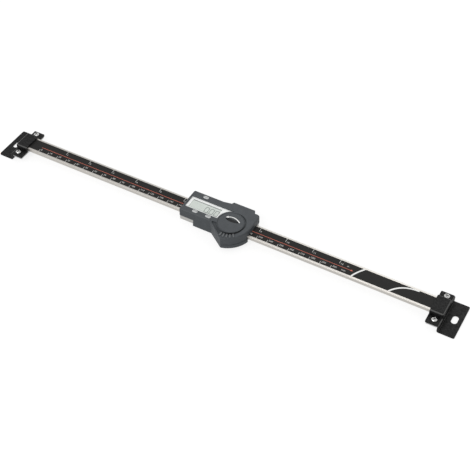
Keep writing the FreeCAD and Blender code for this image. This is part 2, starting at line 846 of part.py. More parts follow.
def battery_leaf():
    """Spring leaf under the cell, which steps up through the pocket wall onto the board."""
    wall_x = battery_x - pocket_radius
    board_x = wall_x - pocket_wall
    under = [(battery_x + leaf_reach, floor_top), (wall_x, floor_top), (board_x, board_top),
             (board_x - board_margin - leaf_reach, board_top)]
    over = [(x, z + leaf_thickness) for x, z in reversed(under)]
    leaf = crossways(under + over, leaf_width / 2)
    leaf.translate(Vector(0, battery_y, 0))
    return leaf


def battery_side_contact():
    """Upright strip beside the cell's edge, with a foot that reaches over the board."""
    near_side = battery_y + battery_radius + cell_touch
    far_side = near_side + leaf_thickness
    end = connector_front - contact_clear
    high = ledge - lug_height - 2 * lug_gap
    profile = [(near_side, board_top), (end, board_top), (end, board_top + leaf_thickness),
               (far_side, board_top + leaf_thickness), (far_side, high), (near_side, high)]
    return lengthways(profile, battery_x - side_contact_width / 2, battery_x + side_contact_width / 2)


def finger_recess():
    """Lens-shaped scoop: a level floor to just behind its chord, then a slope up to its back arc."""
    half = recess_chord / 2
    chord = battery_y + recess_rise
    low = chord - recess_front
    high = chord + recess_back
    ends = [(battery_x - half, chord), (battery_x + half, chord)]
    plan = outline(ends[0], [((battery_x, low), ends[1]), ((battery_x, high), ends[0])])
    floor = head_top - recess_depth
    above = head_top + spare
    scoop = lengthways([(low, floor), (chord + recess_floor, floor), (high, head_top), (high, above),
                        (low, above)], battery_x - half, battery_x + half)
    return prism(plan, ledge, above).common(scoop)


def battery_cover():
    """Disc with a finger recess above and hooked lugs below."""
    centre = battery_place()
    disc = drum(centre, cover_radius, ledge, head_top)
    disc = bevelled(disc, cover_bevel, lambda c, e: near(c.z, head_top))
    inner = pocket_radius + lug_gap
    lugs = []
    for turn in lug_turns():
        ends = (turn - lug_angle / 2, turn + lug_angle / 2)
        lugs.append(sector(centre, inner, inner + lug_stem, *ends, ledge - lug_height, ledge))
        lugs.append(sector(centre, inner, inner + lug_stem + lug_foot, *ends, ledge - lug_height,
                           ledge - lug_overlap - lug_gap))
    return joined(disc, *lugs).cut(finger_recess())


# Data port
def port_connector():
    half = port_width / 2 - port_gap
    high = web_top + port_height - port_gap
    block = box((port_x - half, port_x + half), (connector_front, connector_back), (board_top, high))
    middle = (board_top + high) / 2
    socket = box((port_x - socket_width / 2, port_x + socket_width / 2),
                 (connector_back - socket_depth, connector_back + spare),
                 (middle - socket_height / 2, middle + socket_height / 2))
    return block.cut(socket)


def port_cover():
    """Plate flush with the bulge's back, with a plug in the port and a finger nick at one end."""
    seat = bulge_back - cover_plate_thickness
    plate = port_opening(seat, bulge_back, cover_plate_margin - port_gap)
    plate = bevelled(plate, cover_bevel, lambda c, e: near(c.y, bulge_back))
    plug = port_opening(seat - cover_plug, seat, -port_gap)
    nick_x = port_x + port_width / 2 + cover_plate_margin - port_gap
    nick = drum((nick_x, bulge_back), nick_radius, web_top, web_top + port_height)
    return joined(plate, plug).cut(nick)


PIECES = {
    "beam": beam,
    "grid_strip": lambda: strip(grid_bottom, grid_thickness),
    "scale_label": lambda: strip(label_bottom, label_thickness),
    "right_end_bracket": end_bracket,
    "left_end_bracket": lambda: mirrored(end_bracket()),
    "right_clamp_bar": clamp_bar,
    "left_clamp_bar": lambda: mirrored(clamp_bar()),
    "right_clamp_screws": clamp_screws,
    "left_clamp_screws": lambda: mirrored(clamp_screws()),
    "slider_frame": slider_frame,
    "base_plate": base_plate,
    "base_plate_screws": base_plate_screws,
    "housing_screws": housing_screws,
    "gib_strip": gib_strip,
    "gib_screws": gib_screws,
    "housing": housing,
    "sensor_board": sensor_board,
    "circuit_board": circuit_board,
    "zebra_strips": zebra_strips,
    "lcd_panel": lcd_panel,
    "lcd_bezel": lcd_bezel,
    "lcd_lens": lcd_lens,
    "key_domes": key_domes,
    "units_button": lambda: button(button_places["units"]),
    "power_button": lambda: button(button_places["power"]),
    "zero_button": lambda: button(button_places["zero"]),
    "battery": battery,
    "battery_leaf": battery_leaf,
    "battery_side_contact": battery_side_contact,
    "battery_cover": battery_cover,
    "port_connector": port_connector,
    "port_cover": port_cover,
}

for name, make in PIECES.items():
    make().exportStep("parts/%s.step" % name)
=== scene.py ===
import json
import math

import bpy
import numpy as np
from bpy.props import FloatProperty, FloatVectorProperty, PointerProperty, StringProperty
from bpy.types import Operator, Panel, PropertyGroup
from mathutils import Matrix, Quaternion, Vector


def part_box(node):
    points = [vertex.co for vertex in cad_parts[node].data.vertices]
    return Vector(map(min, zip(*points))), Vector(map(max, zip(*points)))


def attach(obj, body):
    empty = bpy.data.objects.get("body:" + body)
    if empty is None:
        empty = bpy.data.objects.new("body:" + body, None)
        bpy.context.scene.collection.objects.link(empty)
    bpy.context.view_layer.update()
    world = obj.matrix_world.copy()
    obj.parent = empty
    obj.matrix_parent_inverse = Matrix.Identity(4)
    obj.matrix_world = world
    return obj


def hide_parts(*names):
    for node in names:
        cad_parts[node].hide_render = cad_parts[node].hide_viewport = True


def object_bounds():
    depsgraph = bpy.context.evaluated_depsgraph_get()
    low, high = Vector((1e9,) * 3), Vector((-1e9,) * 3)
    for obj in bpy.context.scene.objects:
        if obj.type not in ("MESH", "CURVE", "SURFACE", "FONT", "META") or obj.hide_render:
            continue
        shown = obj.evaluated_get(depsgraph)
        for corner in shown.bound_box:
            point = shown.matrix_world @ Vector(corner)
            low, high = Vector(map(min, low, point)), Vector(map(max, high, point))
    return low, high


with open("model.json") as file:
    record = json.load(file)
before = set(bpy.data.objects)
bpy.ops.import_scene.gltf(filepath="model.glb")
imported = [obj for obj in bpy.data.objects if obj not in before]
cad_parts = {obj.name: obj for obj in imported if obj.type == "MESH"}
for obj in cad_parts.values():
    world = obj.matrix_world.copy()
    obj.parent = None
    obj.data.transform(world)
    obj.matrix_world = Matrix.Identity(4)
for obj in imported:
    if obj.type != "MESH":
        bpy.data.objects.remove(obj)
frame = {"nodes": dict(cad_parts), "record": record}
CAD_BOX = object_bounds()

bl_info = {
    "name": "Digital linear scale",
    "version": (1, 0, 0),
    "blender": (4, 5, 0),
    "location": "View3D > Sidebar > Linear scale",
    "description": "Finishes, print, screws, keys and display of a digital linear scale",
    "category": "Object",
}

MM = 0.001
INCH = 25.4 * MM
UP = (0.0, 0.0, 1.0)
SLOT_COLOURS = {slot["slot"]: tuple(slot["base_color"][:3]) for slot in frame["record"]["materials"]}
NODE_SLOTS = {part["node"]: part["material_slot"] for part in frame["record"]["subparts"]}


# Properties

def length(name, value, text):
    """Length property, its default written in millimetres."""
    return FloatProperty(name=name, description=text, default=value * MM, min=0.0, unit="LENGTH", precision=5)


def angle(name, degrees, text):
    """Angle property, its default written in degrees."""
    return FloatProperty(name=name, description=text, default=math.radians(degrees), subtype="ANGLE")


def colour_of(name, rgb, text):
    """Colour property."""
    return FloatVectorProperty(name=name, description=text, default=rgb, subtype="COLOR", min=0.0, max=1.0)


def slot_colour(slot, text):
    """Colour property whose default is the frame's colour for that material slot."""
    return colour_of(slot.replace("_", " ").capitalize(), SLOT_COLOURS[slot], text)


def stage_number(name, value, text, unit="NONE"):
    """Number of the stage: a length in metres, a power in watts, a focal length or a strength."""
    return FloatProperty(name=name, description=text, default=value, min=0.0, unit=unit)


def stage_point(name, place, text):
    """Place on the stage in metres."""
    return FloatVectorProperty(name=name, description=text, default=place, unit="LENGTH")


class FinishColours(PropertyGroup):
    """Colours of the solid pieces, of the prints on them, and of the painted highlights and painted shade on
    them.
    """
    rail_steel: slot_colour("rail_steel", "Ground steel of the beam")
    label_black: slot_colour("label_black", "Printed film on the beam")
    grid_board: slot_colour("grid_board", "Sensing grid under the label")
    bracket_black: slot_colour("bracket_black", "Paint on the end brackets")
    screw_steel: slot_colour("screw_steel", "Plated screws")
    clamp_steel: slot_colour("clamp_steel", "Clamp bars and gib screws")
    carriage_alloy: slot_colour("carriage_alloy", "Frame and base plate of the head")
    gib_brass: slot_colour("gib_brass", "Gib strip")
    housing_grey: slot_colour("housing_grey", "Moulded housing")
    cover_grey: slot_colour("cover_grey", "Battery cover and port cover")
    button_grey: slot_colour("button_grey", "Rubber keys")
    lens_clear: slot_colour("lens_clear", "Window over the display")
    display_glass: colour_of("Display glass", (0.62, 0.665, 0.625), "Display with no segment on")
    bezel_white: slot_colour("bezel_white", "Border round the display")
    board_green: slot_colour("board_green", "Circuit boards")
    contact_rubber: slot_colour("contact_rubber", "Contact strips under the display")
    contact_steel: slot_colour("contact_steel", "Battery contacts, key domes and port contacts")
    cell_steel: slot_colour("cell_steel", "Coin cell")
    connector_black: slot_colour("connector_black", "Data connector")
    white_ink: colour_of("White ink", (0.88, 0.88, 0.86), "Stripes and turning arrow")
    scale_ink: colour_of("Scale ink", (0.58, 0.58, 0.56), "Numbers and ticks of the two scales")
    red_ink: colour_of("Red ink", (0.72, 0.20, 0.14), "Line along the label")
    segment_grey: colour_of("Segment grey", (0.22, 0.24, 0.23), "Display segments that are on")
    edge_grey: colour_of("Edge grey", (0.25, 0.265, 0.26), "Line along the back of the display")
    key_ink: colour_of("Key ink", (0.06, 0.065, 0.07), "Words on the keys")
    # Painted highlights along the brackets' bends and the housing's round edges
    bend_worn: colour_of("Worn bend", (0.085, 0.085, 0.083), "Paint worn along the brackets' bends")
    edge_worn: colour_of("Worn edge", (0.078, 0.084, 0.09), "Plastic rubbed along the round edges")
    # Painted highlight on top of the grip ribs
    rib_worn: colour_of("Worn rib", (0.125, 0.13, 0.135), "Plastic rubbed on top of the grip ribs")
    # Painted shade in the finger recess and at the foot of the cover's ring
    hollow_dark: colour_of("Dark hollow", (0.007, 0.008, 0.009), "Finger recess and the ring's foot")


class PrintSizes(PropertyGroup):
    """Sizes of the print on the label, the keys and the battery cover."""
    ink_height: length("Ink height", 0.02, "Height of a print above its ground")
    zero_inset: length("Zero inset", 21.9, "Zero mark from the label's left end")
    tick_width: length("Tick width", 0.35, "Width of a tick")
    mm_tick: length("Millimetre tick", 3.0, "Ticks on the front edge")
    inch_tick: length("Inch tick", 4.0, "Ticks on the back edge")
    numeral_height: length("Numeral height", 1.9, "Height of the numbers")
    numeral_gap: length("Numeral gap", 1.0, "Number to the right of its tick")
    mm_baseline: length("Millimetre baseline", 2.0, "Foot of the millimetre numbers from the front edge")
    inch_baseline: length("Inch baseline", 4.5, "Foot of the inch numbers from the back edge")
    red_line_width: length("Red line width", 0.32, "Width of the red line")
    red_line_offset: length("Red line offset", 5.7, "Red line from the label's front edge")
    red_line_start: length("Red line start", 0.2, "Start of the red line beyond the zero mark")
    red_line_end: length("Red line end", 318.4, "Tip of its arrow beyond the zero mark")
    red_arrow_length: length("Red arrow length", 2.0, "Length of its arrow")
    red_arrow_width: length("Red arrow width", 1.5, "Width of its arrow")
    mm_word: length("Millimetre word", 309.0, "Unit of the millimetre numbers beyond the zero mark")
    inch_word: length("Inch word", 312.0, "Unit of the inch numbers beyond the zero mark")
    stripe_width: length("Stripe width", 1.4, "Width of the curved stripes")
    arrow_width: length("Arrow width", 0.85, "Width of the arrow on the battery cover")
    key_letters: length("Key letters", 1.1, "Height of the words on the keys")
    key_word: length("Key word", 4.0, "Greatest width of a word on a key")


class DetailSizes(PropertyGroup):
    """Sizes of the screws, keys, display and port contacts, and of the places on the head with painted shade
    and painted highlights.
    """
    clamp_head_height: length("Clamp head height", 2.4, "Clamp screw head above its seat")
    clamp_head_edge: length("Clamp head edge", 1.15, "Straight side of that head")
    clamp_core: length("Clamp core", 1.25, "Radius over the clamp screw's thread")
    clamp_pitch: length("Clamp pitch", 0.5, "Pitch of that thread")
    small_head_height: length("Small head height", 0.9, "Height of the heads under the base plate")
    small_head_radius: length("Small head radius", 1.5, "Radius of those heads")
    small_core: length("Small core", 0.75, "Radius over the small screws' thread")
    small_pitch: length("Small pitch", 0.35, "Pitch of that thread")
    gib_slot: length("Gib slot", 0.4, "Width of the slot in a gib screw")
    key_edge: length("Key edge", 0.45, "Round edge of a key")
    key_crown: length("Key crown", 0.08, "Rise of a key's top to its middle")
    key_ear: length("Key ear", 0.7, "Ear beyond each end of a key")
    key_ear_height: length("Key ear height", 0.8, "Height of an ear")
    key_ear_drop: length("Key ear drop", 1.6, "Top of the ears below the housing's top")
    ring_reach: length("Ring reach", 0.6, "Outer side of the housing's ring beyond the battery cover")
    # The ring's foot and the finger recess carry painted shade: its width and middle at the ring, and the
    # depth at which it is full in the recess
    ring_foot: length("Ring foot", 1.6, "Width of the dark foot of that ring")
    ring_foot_turn: angle("Ring foot turn", -40.0, "Middle of that foot, from +X")
    recess_shade: length("Recess shade", 0.6, "Depth at which the finger recess is fully dark")
    thumb_tilt: angle("Thumb tilt", 12.0, "Slope of the thumb rest, falling to the front")
    thumb_start: length("Thumb start", 4.2, "High edge of the thumb rest in front of the cover's middle")
    rib_rise: length("Rib rise", 0.8, "Height of the grip ribs above the thumb rest")
    reading: StringProperty(name="Reading", description="Number on the display", default="0.00")
    digit_width: length("Digit width", 3.3, "Width of a display digit")
    digit_height: length("Digit height", 6.2, "Height of a display digit")
    digit_pitch: length("Digit pitch", 4.9, "Distance from digit to digit")
    segment_width: length("Segment width", 0.62, "Width of a display segment")
    digits_right: length("Digits right", 1.9, "Last digit from the display's right end")
    digits_front: length("Digits front", 2.5, "Foot of the digits from the display's front edge")
    edge_line_width: length("Edge line width", 1.0, "Width of the line along the back of the display")
    edge_line_inset: length("Edge line inset", 2.6, "Middle of that line from the display's back edge")
    edge_line_left: length("Edge line left", 2.6, "That line from the display's left end")
    edge_line_right: length("Edge line right", 1.2, "That line from the display's right end")
    window_clear: length("Window clear", 0.05, "Window's lower face above the border under it")
    socket_height: length("Socket height", 1.0, "Height of the data connector's socket")
    contact_pitch: length("Contact pitch", 1.5, "Distance between the contacts in that socket")
    contact_width: length("Contact width", 0.7, "Width of a contact")
    contact_height: length("Contact height", 0.12, "Thickness of a contact")
    contact_length: length("Contact length", 1.6, "Length of a contact")
    contact_inset: length("Contact inset", 0.3, "Contacts from the mouth of the socket")


class StageSettings(PropertyGroup):
    """Camera, lamps and floor."""
    azimuth: angle("Azimuth", 29.17, "Camera's turn about the upright axis")
    elevation: angle("Elevation", 46.19, "Camera above the horizon")
    roll: angle("Roll", -0.05, "Camera's turn about its own line of sight")
    distance: stage_number("Distance", 0.9012, "Camera from its target", "LENGTH")
    target: stage_point("Target", (0.0232, -0.0118, 0.0111), "Point that the camera looks at")
    lens: stage_number("Lens", 80.35, "Focal length", "CAMERA")
    sky: stage_number("Sky", 0.68, "Strength of the light from all round")
    front_lamp: stage_number("Front lamp", 10.0, "Lamp in front and to the left", "POWER")
    front_lamp_size: stage_number("Front lamp size", 1.0, "Side of that square lamp", "LENGTH")
    front_lamp_place: stage_point("Front lamp place", (-0.15, -1.2, 0.9), "Middle of that lamp")
    back_lamp: stage_number("Back lamp", 2.0, "Lamp behind, which the beam mirrors", "POWER")
    back_lamp_size: stage_number("Back lamp size", 0.6, "Side of that square lamp", "LENGTH")
    back_lamp_place: stage_point("Back lamp place", (0.0, 0.85, 1.0), "Middle of that lamp")
    floor: colour_of("Floor", (0.3, 0.3, 0.3), "Floor colour")
    floor_glow: stage_number("Floor glow", 0.77, "Own light of the floor where it is seen")
    floor_half: stage_number("Floor half", 6.0, "Floor's reach from the origin", "LENGTH")


# Shells: each is an array of points with blocks of faces, every face of a block having as many corners

def tube(rings):
    """Closed shell over rings of points: quads between neighbouring rings and one face over each end.

    Rings run anticlockwise about the direction in which they follow one another, so faces point outwards."""
    rows, columns = rings.shape[:2]
    index = np.arange(rows * columns).reshape(rows, columns)
    beside = np.roll(index, -1, axis=1)
    quads = np.stack([index[:-1], beside[:-1], beside[1:], index[1:]], axis=-1).reshape(-1, 4)
    return rings.reshape(-1, 3), [quads, index[:1, ::-1], index[-1:]]


def ribbon(path, width, low, high):
    """Flat band: a rectangle from low to high, as wide as width says, carried along a plan path.

    At each point the band's two edges lie half a width to the left and right of the path's direction."""
    path = np.asarray(path, float)
    forward = np.gradient(path, axis=0)
    forward /= np.linalg.norm(forward, axis=1, keepdims=True)
    half = np.broadcast_to(np.asarray(width, float), len(path))[:, None] / 2
    side = np.stack([-forward[:, 1], forward[:, 0]], axis=1) * half
    corners = ((path + side, low), (path + side, high), (path - side, high), (path - side, low))
    return tube(np.stack([np.column_stack([edge, np.full(len(path), z)]) for edge, z in corners], axis=1))


def bend(start, pull, end, count=25):
    """Plan curve from start to end that is drawn towards a third point: a parabola's arc."""
    t = np.linspace(0.0, 1.0, count)[:, None]
    return (1 - t) ** 2 * np.array(start) + 2 * t * (1 - t) * np.array(pull) + t ** 2 * np.array(end)


def points_in(mesh):
    """Points of a mesh as an array."""
    points = np.empty(len(mesh.vertices) * 3)
    mesh.vertices.foreach_get("co", points)
    return points.reshape(-1, 3)


FONT_CAP = 0.73  # height of a figure of the built-in font, as a share of its size


def letters(text, height, place, low, thickness, align="LEFT", widest=None):
    """Words of the built-in font as a closed shell on a level, made a mesh first and placed afterwards.

    Words that would be wider than a greatest width are drawn narrower to fit it."""
    curve = bpy.data.curves.new("letters", "FONT")
    curve.body = text
    curve.align_x = align
    curve.resolution_u = 2
    curve.extrude = 0.5  # to each side, so the shell is one unit thick
    maker = bpy.data.objects.new("letters", curve)
    bpy.context.scene.collection.objects.link(maker)
    mesh = maker.evaluated_get(bpy.context.evaluated_depsgraph_get()).to_mesh()
    mesh.calc_loop_triangles()
    faces = np.empty(len(mesh.loop_triangles) * 3, int)
    mesh.loop_triangles.foreach_get("vertices", faces)
    size = height / FONT_CAP
    points = points_in(mesh) * (size, size, thickness)
    bpy.data.objects.remove(maker)
    bpy.data.curves.remove(curve)
    if widest:
        points[:, 0] *= min(1.0, widest / np.ptp(points[:, 0]))
    return points + (place[0], place[1], low + thickness / 2), [faces.reshape(-1, 3)]


CROSS_SIDE = 0.35  # slope at the sides of a driver's cross, as a share of its width
CROSS_END = 0.45  # slope at its ends, as a share of its reach
SLOT_SIDE = 0.2  # slope at the sides of a driver's slot, as a share of its width


def cross_recess(radius, height, shares):
    """Function of x and y that gives the depth of a driver's cross in a head.

    The depth is full along two arms and runs out over a slope at their sides and ends. The shares are the
    arms' reach and width over the head's radius, and the depth over its height."""
    reach, width, depth = np.array(shares) * (radius, radius, height)

    def recess(x, y):
        across = np.minimum(np.abs(x), np.abs(y))
        outward = np.maximum(np.abs(x), np.abs(y))
        side = np.clip((width / 2 - across) / (CROSS_SIDE * width), 0.0, 1.0)
        end = np.clip((reach - outward) / (CROSS_END * reach), 0.0, 1.0)
        return depth * side * end

    return recess


def slot_recess(width, depth):
    """Function of x and y that gives the depth of a driver's slot along X, full but for its steep sides."""
    def recess(x, y):
        return depth * np.clip((width / 2 - np.abs(y)) / (SLOT_SIDE * width), 0.0, 1.0)

    return recess


THREAD_ROWS = 8  # rows of points to a turn of a thread
THREAD_DEPTH = 0.3  # depth of a thread, as a share of its pitch
SCREW_TIP = 0.7  # radius of a screw's tip, as a share of its shank's
DOME_ROWS = 34  # rows of points over a screw's head
DOME_POWER = 2.4  # power of the radius by which a screw's head falls to its edge
DOME_POLE = 0.03  # innermost row of a screw's head, as a share of its radius


def screw(head_radius, head_edge, head_height, core, shank, pitch, recess, columns=72):
    """Screw on its own axis, its seat at height 0 and its head above.

    The shank's radius falls from the crest by a saw-tooth of height less turn, which is a thread, and tapers
    at its tip. The head's top is a dome of a power of the radius, less the depth of the recess. The second
    result is the recess at each point, from 0 to 1."""
    turn = np.linspace(0.0, 2 * np.pi, columns, endpoint=False)[None, :]
    rows = max(THREAD_ROWS, int(THREAD_ROWS * shank / pitch))
    level = np.linspace(-shank, 0.0, rows)[:, None]
    tooth = np.abs(2 * ((level / pitch - turn / (2 * np.pi)) % 1.0) - 1.0)
    taper = np.clip((level + shank) / pitch, 0.0, 1.0)
    shank_radius = core * (SCREW_TIP + (1 - SCREW_TIP) * taper) - THREAD_DEPTH * pitch * tooth * taper
    share = np.linspace(1.0, DOME_POLE, DOME_ROWS)[:, None]
    dome = head_radius * share + 0 * turn
    rise = head_edge + (head_height - head_edge) * (1 - share ** DOME_POWER)
    depth = recess(dome * np.cos(turn), dome * np.sin(turn))
    side = np.array([[head_radius], [head_radius]]) + 0 * turn
    side_level = np.array([[0.0], [head_edge]]) + 0 * turn
    radius = np.concatenate([shank_radius, side, dome])
    height = np.concatenate([level + 0 * turn, side_level, rise - depth])
    # Share of the recess at each point, which sets the painted shade at the foot of a driver's recess
    sunk = np.zeros_like(height)
    sunk[-len(dome):] = depth / depth.max()
    return tube(np.stack([radius * np.cos(turn), radius * np.sin(turn), height], axis=-1)), sunk.ravel()


KEY_EDGE_ROWS = 7  # rows of points over a key's round edge
KEY_TOP_ROWS = 8  # rows of points from there to its middle
KEY_POLE = 0.97  # inset of the innermost row, as a share of the key's end radius


def oval_key(place, size, low, high, edge, crown, columns=64):
    """Key with an oval plan: upright sides, a quarter-round edge, and a top that rises to its middle.

    A row is the oval moved inwards by an inset, which is a straight part with round ends of less radius."""
    turn = np.linspace(0.0, 2 * np.pi, columns, endpoint=False)[None, :]
    radius = size[1] / 2
    quarter = np.linspace(0.0, np.pi / 2, KEY_EDGE_ROWS)
    inner = np.linspace(edge, KEY_POLE * radius, KEY_TOP_ROWS)[1:]
    inset = np.concatenate([[0.0], edge * (1 - np.cos(quarter)), inner])
    rim = high - crown
    rise = np.concatenate([[low], rim - edge + edge * np.sin(quarter),
                           rim + crown * (1 - ((radius - inner) / (radius - edge)) ** 2)])
    around = radius - inset[:, None]
    straight = np.where(np.cos(turn) >= 0, 1, -1) * (size[0] - size[1]) / 2
    x = place[0] + straight + around * np.cos(turn)
    y = place[1] + around * np.sin(turn)
    return tube(np.stack([x, y, rise[:, None] + 0 * x], axis=-1))


def window_sheet(low, high, axis, radius, rows=49):
    """Sheet between two corners whose right side keeps a radius from an upright axis.

    Each row is a rectangle at one y, its right end the axis less the root of radius² less (y - axis)²."""
    y = np.linspace(low[1], high[1], rows)
    left = np.full(rows, low[0])
    right = axis[0] - np.sqrt(radius ** 2 - (y - axis[1]) ** 2)
    corners = ((left, high[2]), (right, high[2]), (right, low[2]), (left, low[2]))
    return tube(np.stack([np.column_stack([x, y, np.full(rows, z)]) for x, z in corners], axis=1))


def moved(shell, place, axis="UP"):
    """Shell turned from upright to downward or backward, and set on a place."""
    points, faces = shell
    x, y, z = points.T
    turned = {"UP": (x, y, z), "DOWN": (x, -y, -z), "BACK": (x, z, -y)}[axis]
    return np.column_stack(turned) + np.asarray(place), faces


# Pieces

SMOOTH = 40  # angle in degrees up to which a rounded piece is shaded smooth
LEVEL_SLACK = 0.01 * MM  # distance from an end face at which a point still belongs to it
FACE_SLACK = 1.05  # greatest distance between two points of a round face, over its width


def piece(name, shells, material, body, smooth=None, recess=None):
    """One object at the origin from several shells, riding on a body, with smooth shading up to an angle.

    Where a recess is given, it is the share of it at each point of a shell, the same for all the shells."""
    starts = np.cumsum([0] + [len(points) for points, _ in shells])
    points = np.concatenate([points for points, _ in shells])
    faces = []
    for (_, blocks), start in zip(shells, starts):
        for block in blocks:
            faces += (block + start).tolist()
    mesh = bpy.data.meshes.new(name)
    mesh.from_pydata(points.tolist(), [], faces)
    mesh.materials.append(material)
    if smooth:
        mesh.shade_smooth()
        mesh.set_sharp_from_angle(angle=math.radians(smooth))
    if recess is not None:
        # Point attribute from which plated metal paints shade into a driver's recess
        shade = mesh.attributes.new("recess", "FLOAT", "POINT")
        shade.data.foreach_set("value", np.tile(recess, len(shells)))
    made = bpy.data.objects.new(name, mesh)
    bpy.context.scene.collection.objects.link(made)
    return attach(made, body)


def screws(node, body, slot, colours, shape, places, axis="UP"):
    """One piece that replaces a node of screws, with a screw's shape set on each place."""
    shell, sunk = shape
    shells = [moved(shell, place, axis) for place in places]
    made = piece(node + "_detail", shells, slot_finish(slot, colours), body, smooth=SMOOTH, recess=sunk)
    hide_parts(node)


def box_of(node):
    """Lowest and highest corner of a solid piece as arrays."""
    low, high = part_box(node)
    return np.array(low), np.array(high)


def round_ends(node, axis, side, width):
    """Middles of the round faces at a node's lowest (-1) or highest (1) level, for faces of about a width."""
    points = points_in(frame["nodes"][node].data)
    level = side * points[:, axis]
    points = points[level > level.max() - LEVEL_SLACK]
    apart = np.linalg.norm(points[:, None] - points[None], axis=-1)
    group = (apart < FACE_SLACK * width).argmax(axis=1)
    ends = [points[group == number] for number in np.unique(group)]
    return [(end.min(axis=0) + end.max(axis=0)) / 2 for end in ends]


# Finishes

EVEN = (1.0, 1.0, 1.0)  # noise that is as long along each axis
LINES = (60.0, 1.0, 1.0)  # noise that is drawn out along X into fine lines
MOTTLE_STOPS = (0.3, 0.7)  # noise levels of the darkest and the palest tone
RECESS_SHADE_TONE = 0.3  # painted shade: colour at the foot of a driver's recess, as a share of the metal's


def add_node(tree, kind, inputs=None, **settings):
    """New shader node with its settings, each given input linked to a socket or set to a value."""
    node = tree.nodes.new("ShaderNode" + kind)
    for name, value in settings.items():
        setattr(node, name, value)
    for name, value in (inputs or {}).items():
        if isinstance(value, bpy.types.NodeSocket):
            tree.links.new(value, node.inputs[name])
        else:
            node.inputs[name].default_value = value
    return node


def worked_out(tree, operation, first, second):
    """Socket of what a math operation makes of two sockets or values."""
    return add_node(tree, "Math", {0: first, 1: second}, operation=operation).outputs[0]


def mapped(tree, vector, **change):
    """Socket of a vector that is moved by a Location or stretched by a Scale."""
    return add_node(tree, "Mapping", {"Vector": vector, **change}).outputs["Vector"]


def finish(name, colour, roughness, metallic=0.0, specular=0.5, alpha=1.0):
    """Plain finish, with every constant on the shader's own socket."""
    material = bpy.data.materials.new(name)
    material.use_nodes = True
    inputs = material.node_tree.nodes["Principled BSDF"].inputs
    inputs["Base Color"].default_value = (*colour, 1.0)
    inputs["Roughness"].default_value = roughness
    inputs["Metallic"].default_value = metallic
    inputs["Specular IOR Level"].default_value = specular
    inputs["Alpha"].default_value = alpha
    return material


def noise_in(tree, size, stretch):
    """Noise on Object coordinates, its cells about a size across and longer along a stretched axis."""
    where = add_node(tree, "TexCoord").outputs["Object"]
    cells = mapped(tree, where, Scale=[1.0 / (size * factor) for factor in stretch])
    return add_node(tree, "TexNoise", {"Vector": cells, "Scale": 1.0}).outputs["Fac"]


def add_grain(material, size, height, stretch=EVEN):
    """Relief of fine noise."""
    tree = material.node_tree
    bump = add_node(tree, "Bump", {"Height": noise_in(tree, size, stretch), "Distance": height})
    tree.links.new(bump.outputs["Normal"], tree.nodes["Principled BSDF"].inputs["Normal"])
    return material


def add_mottle(material, size, share, stretch, gloss_share):
    """Colour and gloss that each drift by a share to both sides over patches of noise."""
    tree = material.node_tree
    inputs = tree.nodes["Principled BSDF"].inputs
    noise = noise_in(tree, size, stretch)
    tone = add_node(tree, "ValToRGB", {"Fac": noise})
    colour = np.array(inputs["Base Color"].default_value[:3])
    for stop, place, change in zip(tone.color_ramp.elements, MOTTLE_STOPS, (-share, share)):
        stop.position = place
        stop.color = (*np.clip(colour * (1 + change), 0.0, 1.0), 1.0)
    roughness = inputs["Roughness"].default_value
    gloss = add_node(tree, "MapRange", {"Value": noise, "To Min": roughness * (1 + gloss_share),
                                        "To Max": roughness * (1 - gloss_share)})
    tree.links.new(tone.outputs["Color"], inputs["Base Color"])
    tree.links.new(gloss.outputs["Result"], inputs["Roughness"])
    return material


def coated(grain, mottle, stretch=EVEN, gloss_share=None, **shader):
    """Maker of a finish with a relief of fine noise and with patches of drifting colour and gloss.

    The grain is a size and a height, and the mottle is a size and a share, which is the gloss's share too
    unless that is given."""
    def make(name, colour):
        made = add_grain(finish(name, colour, **shader), *grain, stretch)
        return add_mottle(made, *mottle, stretch, gloss_share or mottle[1])

    return make


def drawn_metal(roughness):
    """Maker of a metal with fine lines along X."""
    return coated(roughness=roughness, metallic=1.0, grain=(0.25 * MM, 0.006 * MM), mottle=(0.4 * MM, 0.07),
                  stretch=LINES)


def plated_metal(roughness):
    """Maker of a bright metal with painted shade where a point attribute says that a driver's recess is."""
    def make(name, colour):
        made = finish(name, colour, roughness, metallic=1.0)
        tree = made.node_tree
        recess = add_node(tree, "Attribute", attribute_name="recess").outputs["Fac"]
        tone = add_node(tree, "ValToRGB", {"Fac": recess})
        # Painted shade: the colour falls towards the foot of the recess
        open_face, shaded_foot = tone.color_ramp.elements
        open_face.color = (*colour, 1.0)
        shaded_foot.color = (*np.array(colour) * RECESS_SHADE_TONE, 1.0)
        tree.links.new(tone.outputs["Color"], tree.nodes["Principled BSDF"].inputs["Base Color"])
        return add_grain(made, size=0.8 * MM, height=0.02 * MM)

    return make


def clear_sheet(name, colour):
    """Clear sheet, drawn as a thin film that lets most of what is below through."""
    return finish(name, colour, roughness=0.06, specular=0.4, alpha=0.025)


# Plastic with a fine spark texture, and paint with a fine orange peel
moulded = coated(roughness=0.55, specular=0.3, grain=(0.35 * MM, 0.015 * MM), mottle=(5.0 * MM, 0.06))
textured_paint = coated(roughness=0.42, specular=0.12, grain=(0.9 * MM, 0.14 * MM), mottle=(1.8 * MM, 0.9),
                        gloss_share=0.2)
# Film or ink with a dull, slightly uneven face, dull fine-grained rubber, and display glass with an even face
printed_film = coated(roughness=0.5, specular=0.13, grain=(0.3 * MM, 0.004 * MM), mottle=(2.5 * MM, 0.05))
soft_rubber = coated(roughness=0.6, specular=0.3, grain=(0.25 * MM, 0.01 * MM), mottle=(1.5 * MM, 0.04))
display_face = coated(roughness=0.5, specular=0.13, grain=(0.3 * MM, 0.002 * MM), mottle=(12.0 * MM, 0.015))

